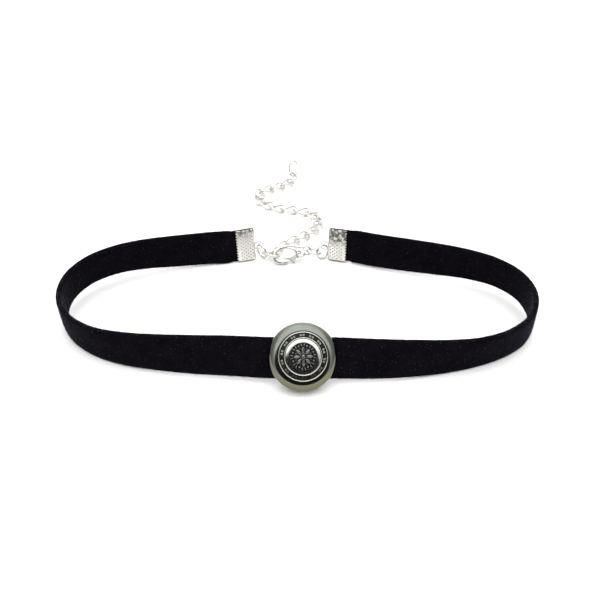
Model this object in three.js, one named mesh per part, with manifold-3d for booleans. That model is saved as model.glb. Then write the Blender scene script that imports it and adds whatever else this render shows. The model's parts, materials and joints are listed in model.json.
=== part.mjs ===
// Choker necklace: a velvet ribbon with a domed metal button sewn to its front,
// crimped clamps at both ends, a lobster clasp and an extension chain.
// It lies fastened on a flat surface. Millimetres, +Z up, the button faces -Y.
import * as THREE from 'three';
import Module from 'manifold-3d';
import { mergeVertices } from 'three/addons/utils/BufferGeometryUtils.js';

const wasm = await Module();
wasm.setup();

// The ribbon
const ribbonWidth = 10;
const ribbonThickness = 1.2;
const ribbonGripThickness = 0.7;
const selvedgeRound = 0.3;
const selvedgeShare = 0.45;
const mouthRun = 1.4;
const leftReach = 65.4;
const rightReach = 63.6;
const frontDepth = 35.1;
const backDepth = 24.1;
const ribbonStep = 2.8;

// The button
const buttonRadius = 8.5;
const buttonTilt = 38;
const buttonTurn = 4;
const buttonSide = 0.65;
const buttonLift = 1.15;
const buttonStandOff = 1.4;
const rimThickness = 0.4;
const bandHeight = 2.0;
const backHollow = 0.6;
const backRimWidth = 0.6;
const backSlope = 0.5;
const edgeBreak = 0.1;
const outerRingRadius = 5.95;
const innerRingRadius = 4.58;
const beadWidth = 0.36;
const beadHeight = 0.38;
const beadTopShare = 0.4;
const beadFootShare = 0.6;
const channelDepth = 0.42;
const medallionRadius = 3.7;
const medallionRise = 1.1;
const medallionStep = 0.15;
const medallionMoat = 0.1;
const markCount = 14;
const markLength = 1.25;
const markWidth = 0.6;
const markHeight = 0.3;
const petalCount = 8;
const boss = { radius: 0, length: 0.75, width: 0.75, height: 0.5 };
const petal = { radius: 1.65, length: 0.85, width: 0.42, height: 0.32 };
const bead = { radius: 2.75, length: 0.36, width: 0.36, height: 0.34 };
const shankWire = 0.9;
const shankInnerWidth = 1.8;
const solderDepth = 0.3;
const slitEase = 0.5;
const threadWire = 0.8;
const threadLength = 6.4;

// The clamps on the ribbon's ends
const clampLength = 5.2;
const clampHeight = 9.7;
const plateThickness = 0.4;
const toothCount = 11;
const toothDepth = 0.6;
const eyeHoleRadius = 1.05;
const eyeWall = 0.4;
const eyeDrop = 0.8;
const leftClampAngle = 17;
const rightClampAngle = 18.7;
const leftClampLean = 12;
const rightClampLean = 12;
const leftClampPitch = 0;
const rightClampPitch = 3;

// The jump rings, the clasp and the chain
const ringRadius = 2.15;
const ringWire = 0.7;
const hardwareSlack = 0.65;
const hookSlack = 0.66;
const hookCatch = 0.52;
const claspMiddle = -2.6;
const claspLength = 12.6;
const claspWidth = 5.8;
const claspThickness = 2.6;
const claspHookThickness = 1.3;
const claspHookWidth = 1.25;
const claspTailRadius = 1.55;
const claspTailThickness = 0.9;
const tailEyeRadius = 1.05;
const leverBossRadius = 1.05;
const leverThickness = 0.9;
const leverSlotGap = 0.3;
const claspRounding = 0.35;
const claspFlat = 0.5;
const rivetRadius = 0.35;
const linkLength = 6.5;
const linkWidth = 4.2;
const linkWire = 0.75;
const linkBluntness = 0.85;
const linkTwist = 45;
const linkSlack = 0.53;
const chainLinks = 19;

// Clearance between pieces that lie against each other
const gap = 0.25;

// How the ribbon stands, from the front's middle round to each clamp. Across is a share of the
// side's reach, or in the back rows a share of what is left of it beside the clamp. Along is a
// share of the way from the front to the clamps. Lean is the top edge's tilt out of the loop in
// degrees. Lift is the lower edge's height as a share of the ribbon's width.
const frontMiddle = { along: 0, lean: -29, lift: 0.2 };
const leftFrontRows = [
  { across: 0.12, along: 0.001, lean: -28.5, lift: 0.198 },
  { across: 0.27, along: 0.012, lean: -22, lift: 0.18 },
  { across: 0.41, along: 0.025, lean: -15, lift: 0.14 },
  { across: 0.55, along: 0.047, lean: -6, lift: 0.09 },
  { across: 0.69, along: 0.082, lean: 2, lift: 0.05 },
  { across: 0.815, along: 0.14, lean: 7.5, lift: 0.02 },
  { across: 0.922, along: 0.237, lean: 8.5, lift: 0.03 },
  { across: 0.989, along: 0.372, lean: 4, lift: 0.08 },
  { across: 0.995, along: 0.525, lean: -4, lift: 0.16 },
];
const leftBackRows = [
  { across: 0.909, along: 0.665, lean: -9.7, lift: 0.22 },
  { across: 0.756, along: 0.772, lean: -9.7, lift: 0.22 },
  { across: 0.571, along: 0.842, lean: -5, lift: 0.17 },
  { across: 0.37, along: 0.889, lean: 2, lift: 0.11 },
  { across: 0.169, along: 0.932, lean: 7.5, lift: 0.06 },
];
const rightFrontRows = [
  { across: 0.15, along: -0.001, lean: -27.5, lift: 0.19 },
  { across: 0.297, along: -0.002, lean: -18.5, lift: 0.136 },
  { across: 0.439, along: 0.007, lean: -8.5, lift: 0.083 },
  { across: 0.58, along: 0.029, lean: 2.5, lift: 0.036 },
  { across: 0.717, along: 0.067, lean: 9.8, lift: 0.01 },
  { across: 0.846, along: 0.135, lean: 11, lift: 0.012 },
  { across: 0.948, along: 0.24, lean: 6.6, lift: 0.037 },
  { across: 0.997, along: 0.382, lean: -1, lift: 0.12 },
  { across: 0.973, along: 0.532, lean: -8, lift: 0.2 },
];
const rightBackRows = [
  { across: 0.85, along: 0.653, lean: -10, lift: 0.23 },
  { across: 0.691, along: 0.738, lean: -6, lift: 0.2 },
  { across: 0.516, along: 0.799, lean: 1.6, lift: 0.15 },
  { across: 0.336, along: 0.852, lean: 8, lift: 0.11 },
  { across: 0.159, along: 0.907, lean: 11.5, lift: 0.07 },
];

// Where the extension chain lies, from the clasp's middle back. In link lengths, z from the surface.
const chainRoute = [
  { x: -0.554, y: 0.446, z: 0.237 },
  { x: -0.062, y: 1.185, z: 0.185 },
  { x: 0.569, y: 1.769, z: 0.177 },
  { x: 1.169, y: 2.415, z: 0.177 },
  { x: 1.369, y: 3.246, z: 0.177 },
  { x: 1.169, y: 4.015, z: 0.177 },
  { x: 0.554, y: 4.446, z: 0.177 },
  { x: -0.646, y: 4.723, z: 0.177 },
  { x: -1.477, y: 5.246, z: 0.177 },
  { x: -1.923, y: 5.969, z: 0.177 },
  { x: -1.692, y: 6.815, z: 0.177 },
  { x: -0.892, y: 7.338, z: 0.177 },
  { x: -0.154, y: 7.892, z: 0.192 },
  { x: 0.015, y: 8.600, z: 0.262 },
  { x: 0.062, y: 9.154, z: 0.862 },
  { x: 0.092, y: 9.615, z: 1.477 },
];

const degrees = THREE.MathUtils.degToRad;
const vector = (x, y, z) => new THREE.Vector3(x, y, z);
const direction = (x, y, z) => vector(x, y, z).normalize();
const up = vector(0, 0, 1);

const velvet = new THREE.MeshStandardMaterial({ color: 0x0d0b12, roughness: 0.95, metalness: 0 });
const gunmetal = new THREE.MeshStandardMaterial({ color: 0x55584f, roughness: 0.25, metalness: 1 });
const silver = new THREE.MeshStandardMaterial({ color: 0xdedcd2, roughness: 0.2, metalness: 1 });
const cotton = new THREE.MeshStandardMaterial({ color: 0x0c0c0e, roughness: 0.9, metalness: 0 });

// Solids from geometries, for cutting and joining
function toSolid(geometry) {
  const bare = geometry.clone();
  bare.deleteAttribute('normal');
  bare.deleteAttribute('uv');
  const merged = mergeVertices(bare, 1e-4);
  return new wasm.Manifold(new wasm.Mesh({
    numProp: 3,
    vertProperties: new Float32Array(merged.attributes.position.array),
    triVerts: new Uint32Array(merged.index.array),
  }));
}

function toGeometry(solid) {
  const mesh = solid.getMesh();
  const geometry = new THREE.BufferGeometry();
  geometry.setAttribute('position', new THREE.BufferAttribute(new Float32Array(mesh.vertProperties), 3));
  geometry.setIndex(new THREE.BufferAttribute(new Uint32Array(mesh.triVerts), 1));
  geometry.computeVertexNormals();
  return geometry;
}

function joined(geometries) {
  return geometries.map(toSolid).reduce((whole, piece) => whole.add(piece));
}

// A solid skinned over rings of points. Closed rings join end to end, open ones get flat caps.
function skin(rings, closed) {
  const around = rings[0].length;
  const positions = rings.flat().flatMap((point) => [point.x, point.y, point.z]);
  const faces = [];
  const spans = closed ? rings.length : rings.length - 1;
  for (let i = 0; i < spans; i += 1) {
    const here = i * around;
    const next = ((i + 1) % rings.length) * around;
    for (let k = 0; k < around; k += 1) {
      const beside = (k + 1) % around;
      faces.push(here + k, here + beside, next + beside, here + k, next + beside, next + k);
    }
  }
  if (!closed) {
    const last = (rings.length - 1) * around;
    for (let k = 1; k < around - 1; k += 1) {
      faces.push(0, k + 1, k, last, last + k, last + k + 1);
    }
  }
  const geometry = new THREE.BufferGeometry();
  geometry.setAttribute('position', new THREE.BufferAttribute(new Float32Array(positions), 3));
  geometry.setIndex(faces);
  return geometry;
}

// Round wire along a line of points
function wire(points, radius, sides, closed) {
  const count = points.length;
  let side = null;
  const rings = points.map((point, i) => {
    const before = closed ? points[(i + count - 1) % count] : points[Math.max(i - 1, 0)];
    const after = closed ? points[(i + 1) % count] : points[Math.min(i + 1, count - 1)];
    const along = after.clone().sub(before).normalize();
    if (side === null) {
      side = Math.abs(along.z) < 0.9 ? up.clone() : vector(1, 0, 0);
    }
    side = side.clone().addScaledVector(along, -side.dot(along)).normalize();
    const other = vector(0, 0, 0).crossVectors(along, side);
    return Array.from({ length: sides }, (unused, k) => {
      const turn = (2 * Math.PI * k) / sides;
      return point.clone()
        .addScaledVector(side, radius * Math.cos(turn))
        .addScaledVector(other, radius * Math.sin(turn));
    });
  });
  return skin(rings, closed);
}

// A matrix that puts local x and y along two directions, squared up, at a place
function placed(xAlong, yNear, origin) {
  const x = xAlong.clone().normalize();
  const z = vector(0, 0, 0).crossVectors(x, yNear).normalize();
  const y = vector(0, 0, 0).crossVectors(z, x);
  return new THREE.Matrix4().makeBasis(x, y, z).setPosition(origin);
}

const necklace = new THREE.Group();

function addPiece(name, geometry, material, matrix) {
  const mesh = new THREE.Mesh(geometry, material);
  mesh.name = name;
  if (matrix) {
    matrix.decompose(mesh.position, mesh.quaternion, mesh.scale);
  }
  necklace.add(mesh);
}

// Directions across the ribbon and out of its outer face, for a line of travel and a lean
function standing(travel, lean) {
  const outward = vector(0, 0, 0).crossVectors(travel, up).normalize();
  const upright = vector(0, 0, 0).crossVectors(outward, travel).normalize();
  const tilt = degrees(lean);
  const across = upright.clone().multiplyScalar(Math.cos(tilt)).addScaledVector(outward, Math.sin(tilt));
  const facing = outward.clone().multiplyScalar(Math.cos(tilt)).addScaledVector(upright, -Math.sin(tilt));
  return { across, facing };
}

// The clamps' places. Each folds over at its end, and its eye sits just beyond the fold.
const gripHalf = ribbonGripThickness / 2 + gap;
const foldRadius = gripHalf + plateThickness;

function clampTravel(turnDegrees, pitchDegrees) {
  const turn = degrees(turnDegrees);
  const fall = degrees(pitchDegrees);
  return vector(Math.cos(turn) * Math.cos(fall), Math.sin(turn) * Math.cos(fall), -Math.sin(fall));
}

// The height that stands the ribbon's lower edge on the surface at its end
function endHeightAt(lean) {
  const tilt = degrees(lean);
  return (ribbonWidth / 2) * Math.cos(tilt) + foldRadius * Math.sin(tilt);
}

function clampPlace(end, towardsClasp, lean, side) {
  const { across, facing } = standing(towardsClasp.clone().multiplyScalar(side), lean);
  const eye = end.clone().addScaledVector(towardsClasp, eyeHoleRadius).addScaledVector(across, -eyeDrop);
  return { end, eye, towardsClasp, across, facing };
}

// The clasp's line, worked out from the left clamp's eye to the right one's
const leftRingHang = direction(0.475, -0.277, -0.836);
const leftRingPull = direction(0.712, -0.696, -0.093);
const firstLinkRun = direction(0.799, -0.597, 0.076);
const firstLinkAcross = direction(0.461, 0.822, -0.334);
const secondLinkShift = -0.51;
const secondLinkInset = -0.18;
const secondLinkRoll = -21.32;
const claspRun = direction(0.973, 0.212, 0.089);
const claspLift = 54.54;
const tailRingSide = 0.06;
const tailRingAcross = direction(0.104, 0.972, -0.213);
const rightRingHang = direction(-0.365, -0.39, -0.845);
const rightRingPull = direction(-0.825, -0.563, 0.036);

const linkMiddleLength = linkLength - linkWire;
const ringGrip = ringWire / 2 + linkWire / 2 + hardwareSlack;
const ringToRing = ringWire + hardwareSlack;
const hookGrip = linkWire / 2 + claspHookWidth / 2 + hookSlack;
const claspTailEye = claspLength - claspTailRadius;

const leftTravel = clampTravel(leftClampAngle, leftClampPitch);
const rightTravel = clampTravel(180 - rightClampAngle, rightClampPitch);
const leftEnd = vector(0, backDepth, endHeightAt(leftClampLean));
const leftClamp = clampPlace(leftEnd, leftTravel, leftClampLean, -1);
const leftRing = leftClamp.eye.clone().addScaledVector(leftRingHang, ringRadius);
const firstLinkStart = leftRing.clone().addScaledVector(leftRingPull, ringRadius - ringGrip);
const firstLinkEnd = firstLinkStart.clone().addScaledVector(firstLinkRun, linkMiddleLength);
const firstLinkMiddle = firstLinkStart.clone().lerp(firstLinkEnd, 0.5);

const claspUp = direction(0, Math.cos(degrees(claspLift)), Math.sin(degrees(claspLift)));
const claspFrame = placed(claspRun, claspUp, vector(0, 0, 0));
const claspAcross = vector(0, 0, 0).setFromMatrixColumn(claspFrame, 1);
const claspStart = firstLinkEnd.clone()
  .addScaledVector(firstLinkRun, -hookGrip)
  .addScaledVector(claspRun, -claspHookWidth / 2)
  .addScaledVector(claspAcross, -hookCatch);
const tailEye = claspStart.clone().addScaledVector(claspRun, claspTailEye);

const rightEyeHeight = endHeightAt(rightClampLean) - eyeDrop * Math.cos(degrees(rightClampLean))
  - eyeHoleRadius * Math.sin(degrees(rightClampPitch));
const rightRingHeight = rightEyeHeight + rightRingHang.z * ringRadius;
const tailRingEndHeight = rightRingHeight + rightRingPull.z * (ringRadius - ringToRing);
const tailRingFall = (tailRingEndHeight - tailEye.z) / (2 * ringRadius);
const tailRingForward = Math.sqrt(1 - tailRingFall ** 2 - tailRingSide ** 2);
const tailRingRun = vector(tailRingForward, tailRingSide, tailRingFall);
const tailRing = tailEye.clone().addScaledVector(tailRingRun, ringRadius);
const tailRingEnd = tailEye.clone().addScaledVector(tailRingRun, 2 * ringRadius);
const rightRing = tailRingEnd.clone().addScaledVector(rightRingPull, -(ringRadius - ringToRing));
const rightEye = rightRing.clone().addScaledVector(rightRingHang, -ringRadius);
const rightAcross = standing(rightTravel, rightClampLean).across;
const rightEnd = rightEye.clone()
  .addScaledVector(rightTravel, -eyeHoleRadius)
  .addScaledVector(rightAcross, eyeDrop);
const rightClamp = clampPlace(rightEnd, rightTravel, rightClampLean, 1);

// The clasp's line is centred on its own middle
const claspShift = claspMiddle - (leftEnd.x + rightEnd.x) / 2;
[leftEnd, rightEnd, leftClamp.eye, rightClamp.eye, leftRing, rightRing, tailRing, tailEye,
  firstLinkStart, firstLinkEnd, firstLinkMiddle, claspStart].forEach((place) => {
  place.x += claspShift;
});

// The ribbon
const clampReach = foldRadius + clampLength;
const ribbonStraight = clampReach + mouthRun;

function insideClamp(clamp, lean) {
  return [foldRadius, clampReach / 2, ribbonStraight].map((back) => {
    const middle = clamp.end.clone().addScaledVector(clamp.towardsClasp, -back);
    return { middle, lean };
  });
}

function ribbonRow(row, x) {
  const tilt = degrees(row.lean);
  const height = row.lift * ribbonWidth + (ribbonWidth / 2) * Math.cos(tilt);
  const y = -frontDepth + row.along * (frontDepth + backDepth);
  return { middle: vector(x, y, height), lean: row.lean };
}

function ribbonSide(frontRows, backRows, reach, sign, clamp) {
  const mouth = clamp.end.clone().addScaledVector(clamp.towardsClasp, -ribbonStraight).x;
  const front = frontRows.map((row) => ribbonRow(row, sign * row.across * reach));
  const back = backRows.map((row) => ribbonRow(row, mouth + row.across * (sign * reach - mouth)));
  return [...front, ...back];
}

const leftSide = ribbonSide(leftFrontRows, leftBackRows, leftReach, -1, leftClamp);
const rightSide = ribbonSide(rightFrontRows, rightBackRows, rightReach, 1, rightClamp);
const ribbonRows = [
  ...insideClamp(leftClamp, leftClampLean),
  ...leftSide.reverse(),
  ribbonRow(frontMiddle, 0),
  ...rightSide,
  ...insideClamp(rightClamp, rightClampLean).reverse(),
];
const ribbonLine = new THREE.CatmullRomCurve3(ribbonRows.map((row) => row.middle), false, 'centripetal');
ribbonLine.arcLengthDivisions = 2000;
const leans = ribbonRows.map((row) => vector(row.lean, 0, 0));
const leanLine = new THREE.CatmullRomCurve3(leans, false, 'catmullrom');
const ribbonLength = ribbonLine.getLength();

function ribbonAt(share) {
  const t = ribbonLine.getUtoTmapping(share);
  const middle = ribbonLine.getPoint(t);
  const travel = ribbonLine.getTangent(t);
  return { middle, travel, ...standing(travel, leanLine.getPoint(t).x) };
}

// Thin where the clamps grip it, full beyond their mouths
function thicknessAt(share) {
  const fromEnd = Math.min(share, 1 - share) * ribbonLength;
  const grown = THREE.MathUtils.smoothstep(fromEnd, clampLength, ribbonStraight + mouthRun);
  return THREE.MathUtils.lerp(ribbonGripThickness, ribbonThickness, grown);
}

function ribbonSection(share) {
  const { middle, across, facing } = ribbonAt(share);
  const halfWidth = ribbonWidth / 2;
  const halfThickness = thicknessAt(share) / 2;
  const flat = halfWidth - selvedgeRound;
  const edge = halfThickness * selvedgeShare;
  const outline = [
    [-halfWidth, -edge], [-flat, -halfThickness], [flat, -halfThickness], [halfWidth, -edge],
    [halfWidth, edge], [flat, halfThickness], [-flat, halfThickness], [-halfWidth, edge],
  ];
  return outline.map(([side, out]) => middle.clone()
    .addScaledVector(across, side)
    .addScaledVector(facing, out));
}

const ribbonSteps = Math.round(ribbonLength / ribbonStep);
const ribbonShares = Array.from({ length: ribbonSteps + 1 }, (unused, i) => i / ribbonSteps);
const ribbonSections = ribbonShares.map(ribbonSection);

// The share of the ribbon's length at which the button is sewn, found by halving
function frontShare() {
  let low = 0.3;
  let high = 0.7;
  while (high - low > 1e-6) {
    const middle = (low + high) / 2;
    if (ribbonAt(middle).middle.x < buttonSide) {
      low = middle;
    } else {
      high = middle;
    }
  }
  return low;
}

// The button's place: it hangs before the ribbon's middle, its rim a little above the surface
const ribbonFront = ribbonAt(frontShare());
const buttonAcross = vector(Math.cos(degrees(buttonTurn)), Math.sin(degrees(buttonTurn)), 0);
const buttonFacing = vector(0, 0, 0).crossVectors(buttonAcross, up)
  .multiplyScalar(Math.cos(degrees(buttonTilt)))
  .addScaledVector(up, Math.sin(degrees(buttonTilt)));
const buttonHeight = buttonRadius * Math.cos(degrees(buttonTilt)) + buttonLift;
const outerFace = ribbonFront.middle.clone().addScaledVector(ribbonFront.facing, ribbonThickness / 2);
// The middle of the disc's back lies a stand-off from the ribbon's face, at the height its rim gives
const faceAtHeight = outerFace.clone().addScaledVector(
  ribbonFront.across,
  (buttonHeight - outerFace.z - buttonStandOff * ribbonFront.facing.z) / ribbonFront.across.z,
);
const buttonPlace = faceAtHeight.addScaledVector(ribbonFront.facing, buttonStandOff);
const buttonUp = vector(0, 0, 0).crossVectors(buttonFacing, buttonAcross);
const buttonFrame = placed(buttonAcross, buttonUp, buttonPlace);

// The button, drawn with its axis along z and its back at 0
const shankReach = buttonStandOff + ribbonThickness + threadWire + shankWire + 3.4 * gap;

function discProfile() {
  const bandTop = rimThickness + bandHeight;
  const bandInner = outerRingRadius + beadWidth;
  const points = [[0, backHollow], [buttonRadius - backRimWidth - backSlope, backHollow]];
  points.push([buttonRadius - backRimWidth, 0], [buttonRadius - edgeBreak, 0]);
  points.push([buttonRadius, edgeBreak], [buttonRadius, rimThickness]);
  const bandSteps = 6;
  for (let i = 1; i <= bandSteps; i += 1) {
    const turn = (i / bandSteps) * (Math.PI / 2);
    points.push([
      bandInner + (buttonRadius - bandInner) * Math.cos(turn),
      rimThickness + bandHeight * Math.sin(turn),
    ]);
  }
  const floor = bandTop - channelDepth;
  const ringTop = (radius) => [
    [radius + beadWidth * beadTopShare, bandTop + beadHeight],
    [radius - beadWidth * beadTopShare, bandTop + beadHeight],
  ];
  points.push(...ringTop(outerRingRadius), [outerRingRadius - beadWidth * beadFootShare, floor]);
  points.push([innerRingRadius + beadWidth * beadFootShare, floor], ...ringTop(innerRingRadius));
  points.push([medallionRadius + medallionMoat, floor]);
  const domeSteps = 5;
  for (let i = 0; i <= domeSteps; i += 1) {
    const turn = (i / domeSteps) * (Math.PI / 2);
    const height = floor + medallionStep + medallionRise * Math.sin(turn);
    points.push([medallionRadius * Math.cos(turn), height]);
  }
  points[points.length - 1][0] = 0;
  return points.map(([radius, height]) => new THREE.Vector2(radius, height));
}

function disc() {
  const geometry = new THREE.LatheGeometry(discProfile(), 40);
  geometry.rotateX(Math.PI / 2);
  return geometry;
}

const channelFloor = rimThickness + bandHeight - channelDepth;

function marks() {
  const radius = (outerRingRadius + innerRingRadius) / 2;
  return Array.from({ length: markCount }, (unused, i) => {
    const geometry = new THREE.BoxGeometry(markLength, markWidth, markHeight * 2);
    geometry.translate(0, radius, channelFloor);
    geometry.rotateZ((2 * Math.PI * i) / markCount);
    return geometry;
  });
}

// A plain rosette of petals, beads and a boss on the medallion's dome
function rosette() {
  const domeHeight = (radius) => channelFloor + medallionStep
    + medallionRise * Math.sqrt(1 - (radius / medallionRadius) ** 2);
  const blob = ({ radius, length, width, height }, turn) => {
    const geometry = new THREE.SphereGeometry(1, 8, 5);
    geometry.scale(width, length, height);
    geometry.rotateX(-Math.asin(radius / medallionRadius) / 2);
    geometry.translate(0, radius, domeHeight(radius));
    geometry.rotateZ(turn);
    return geometry;
  };
  const pieces = [blob(boss, 0)];
  for (let i = 0; i < petalCount; i += 1) {
    const turn = (2 * Math.PI * i) / petalCount;
    pieces.push(blob(petal, turn), blob(bead, turn + Math.PI / petalCount));
  }
  return pieces;
}

// The shank is a staple of wire, soldered by its two feet
function shank() {
  const half = (shankInnerWidth + shankWire) / 2;
  const foot = backHollow + solderDepth;
  const bend = -(shankReach - shankWire / 2 - half);
  const points = [vector(half, 0, foot), vector(half, 0, bend)];
  const bendSteps = 8;
  for (let i = 1; i < bendSteps; i += 1) {
    const turn = (Math.PI * i) / bendSteps;
    points.push(vector(half * Math.cos(turn), 0, bend - half * Math.sin(turn)));
  }
  points.push(vector(-half, 0, bend), vector(-half, 0, foot));
  return wire(points, shankWire / 2, 8, false);
}

const button = joined([disc(), ...marks(), ...rosette(), shank()]);
addPiece('button', toGeometry(button), gunmetal, buttonFrame);

// The thread: a few turns wound as one plain bar, through the shank on the ribbon's inner face
const threadHalf = threadWire / 2;
const threadMiddle = buttonPlace.clone()
  .addScaledVector(buttonFacing, -(shankReach - shankWire - gap - threadHalf));
const innerFaceDistance = threadMiddle.clone().sub(ribbonFront.middle).dot(ribbonFront.facing);
const threadShift = -(ribbonThickness / 2 + gap + threadHalf) - innerFaceDistance;
const threadPlace = threadMiddle.addScaledVector(ribbonFront.facing, Math.min(threadShift, 0));

function threadBar() {
  const half = threadLength / 2;
  return wire([vector(0, -half, 0), vector(0, 0, 0), vector(0, half, 0)], threadHalf, 8, false);
}

addPiece('button_thread', threadBar(), cotton, placed(vector(1, 0, 0), ribbonFront.across, threadPlace));

// The ribbon, slit where the shank goes through it
function slit() {
  const width = shankInnerWidth + 2 * shankWire + slitEase + gap;
  const height = shankWire + 2 * slitEase;
  const geometry = new THREE.BoxGeometry(width, height, 3 * ribbonThickness);
  geometry.applyMatrix4(placed(vector(1, 0, 0), ribbonFront.across, shankCrossing()));
  return geometry;
}

// Where the shank's middle line crosses the ribbon's middle
function shankCrossing() {
  const toRibbon = ribbonFront.middle.clone().sub(buttonPlace).dot(ribbonFront.facing);
  const travel = toRibbon / buttonFacing.dot(ribbonFront.facing);
  return buttonPlace.clone().addScaledVector(buttonFacing, travel);
}

const ribbon = toSolid(skin(ribbonSections, false)).subtract(toSolid(slit()));
addPiece('ribbon', toGeometry(ribbon), velvet);

// A clamp: a plate folded round the ribbon's end, toothed at its mouth, with an eye.
// Local x runs towards the clasp from the fold, y across the ribbon, z out of a face.
function clampSolid() {
  const bend = 8;
  const plan = new THREE.Shape();
  plan.moveTo(-clampLength, gripHalf);
  plan.lineTo(-clampLength, foldRadius);
  plan.lineTo(0, foldRadius);
  for (let i = 1; i <= bend; i += 1) {
    const turn = Math.PI / 2 - (Math.PI * i) / bend;
    plan.lineTo(foldRadius * Math.cos(turn), foldRadius * Math.sin(turn));
  }
  plan.lineTo(-clampLength, -foldRadius);
  plan.lineTo(-clampLength, -gripHalf);
  plan.lineTo(0, -gripHalf);
  for (let i = 1; i <= bend; i += 1) {
    const turn = -Math.PI / 2 + (Math.PI * i) / bend;
    plan.lineTo(gripHalf * Math.cos(turn), gripHalf * Math.sin(turn));
  }
  const sheet = new THREE.ExtrudeGeometry(plan, { depth: clampHeight, bevelEnabled: false });
  sheet.rotateX(Math.PI / 2);
  sheet.translate(0, clampHeight / 2, 0);

  const comb = new THREE.Shape();
  const pitch = clampHeight / toothCount;
  const back = -clampLength - pitch;
  const past = clampHeight / 2 + pitch;
  comb.moveTo(back, -past);
  comb.lineTo(-clampLength, -past);
  comb.lineTo(-clampLength, -clampHeight / 2);
  for (let i = 0; i < toothCount; i += 1) {
    const start = -clampHeight / 2 + i * pitch;
    comb.lineTo(-clampLength + toothDepth, start + pitch / 2);
    comb.lineTo(-clampLength, start + pitch);
  }
  comb.lineTo(-clampLength, past);
  comb.lineTo(back, past);
  const notches = new THREE.ExtrudeGeometry(comb, { depth: 4 * foldRadius, bevelEnabled: false });
  notches.translate(0, 0, -2 * foldRadius);

  const eyeCentre = foldRadius + eyeHoleRadius;
  const eyeOutline = new THREE.Shape();
  eyeOutline.absarc(eyeCentre, -eyeDrop, eyeHoleRadius + eyeWall, 0, 2 * Math.PI);
  const hole = new THREE.Path();
  hole.absarc(eyeCentre, -eyeDrop, eyeHoleRadius, 0, 2 * Math.PI);
  eyeOutline.holes.push(hole);
  const eye = new THREE.ExtrudeGeometry(eyeOutline, {
    depth: plateThickness, bevelEnabled: false, curveSegments: 10,
  });
  eye.translate(0, 0, -plateThickness / 2);
  return toSolid(sheet).subtract(toSolid(notches)).add(toSolid(eye));
}

function clampFrame(clamp) {
  const origin = clamp.end.clone().addScaledVector(clamp.towardsClasp, -foldRadius);
  return placed(clamp.towardsClasp, clamp.across, origin);
}

addPiece('left_clamp', toGeometry(clampSolid()), silver, clampFrame(leftClamp));
addPiece('right_clamp', toGeometry(clampSolid()), silver, clampFrame(rightClamp));

// Jump rings, each in the plane of two directions
function addRing(name, centre, one, other) {
  const solid = toSolid(new THREE.TorusGeometry(ringRadius, ringWire / 2, 6, 16));
  addPiece(name, toGeometry(solid), silver, placed(one, other, centre));
}

addRing('left_ring', leftRing, leftRingHang, leftRingPull);
addRing('right_ring', rightRing, rightRingHang, rightRingPull);

// Links of the chain, each an oval of wire with a twist along it
const blunt = (value) => Math.sign(value) * Math.abs(value) ** linkBluntness;

function linkLine(twist) {
  const turns = 16;
  const halfLength = linkMiddleLength / 2;
  const halfWidth = (linkWidth - linkWire) / 2;
  return Array.from({ length: turns }, (unused, i) => {
    const turn = (2 * Math.PI * i) / turns;
    const x = halfLength * blunt(Math.cos(turn));
    const across = halfWidth * blunt(Math.sin(turn));
    const roll = degrees(twist) * (x / halfLength);
    return vector(x, across * Math.cos(roll), across * Math.sin(roll));
  });
}

function addLink(name, middle, run, across, twist) {
  const geometry = wire(linkLine(twist), linkWire / 2, 6, true);
  geometry.computeVertexNormals();
  addPiece(name, geometry, silver, placed(run, across, middle));
}

addLink('chain_link_01', firstLinkMiddle, firstLinkRun, firstLinkAcross, 0);

// The other links follow the route, each holding the one before it
const linkSpacing = linkMiddleLength - linkWire - linkSlack;
const secondHold = firstLinkMiddle.clone()
  .addScaledVector(firstLinkAcross, linkWidth / 2 - linkWire - linkSlack / 2 - secondLinkInset)
  .addScaledVector(firstLinkRun, secondLinkShift);
const routeLine = new THREE.CatmullRomCurve3(
  [secondHold, ...chainRoute.map(({ x, y, z }) => vector(
    claspMiddle + x * linkLength,
    backDepth + y * linkLength,
    z * linkLength,
  ))],
  false,
  'centripetal',
);
const routePoints = routeLine.getSpacedPoints(1500);

function nextHold(from, start) {
  let index = start;
  while (index < routePoints.length - 1 && routePoints[index].distanceTo(from) < linkSpacing) {
    index += 1;
  }
  return index;
}

let hold = routePoints[0];
let holdIndex = 0;
for (let i = 2; i <= chainLinks + 1; i += 1) {
  holdIndex = nextHold(hold, holdIndex);
  const beyond = routePoints[holdIndex];
  const run = beyond.clone().sub(hold).normalize();
  const across = vector(0, 0, 0).crossVectors(up, run);
  if (i === 2) {
    across.applyAxisAngle(run, degrees(secondLinkRoll));
  }
  const name = i > chainLinks ? 'chain_end_link' : `chain_link_${String(i).padStart(2, '0')}`;
  addLink(name, hold.clone().lerp(beyond, 0.5), run, across, linkTwist);
  hold = beyond;
}

// The clasp. Local x runs from the hook's end to the tail eye, y across, z out of its face.
// Its edges are given as shares of its length and width.
const pivotX = claspLength * 0.66;
const pivotY = -claspWidth * 0.07;
const claspOuterEdge = [
  [0.86, 0.2], [0.76, 0.27], [0.66, 0.36], [0.54, 0.44], [0.37, 0.5], [0.2, 0.47], [0.07, 0.3],
  [0, 0.02], [0.03, -0.26], [0.12, -0.43], [0.25, -0.5], [0.345, -0.485],
];
const claspInnerEdge = [
  [0.35, -0.31], [0.25, -0.3], [0.16, -0.22], [0.108, -0.03], [0.13, 0.15], [0.22, 0.27],
  [0.37, 0.29], [0.49, 0.23], [0.575, 0.1], [0.59, -0.12],
];
const claspCheekEdge = [[0.61, -0.3], [0.74, -0.32], [0.86, -0.2]];
const leverLowerEdge = [
  [0.295, -0.155], [0.29, -0.24], [0.37, -0.26], [0.43, -0.34], [0.465, -0.49], [0.52, -0.52],
  [0.55, -0.36], [0.62, -0.22], [0.66, -0.16],
];
const leverUpperEdge = [[0.66, 0.03], [0.55, -0.09], [0.42, -0.16]];

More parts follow.
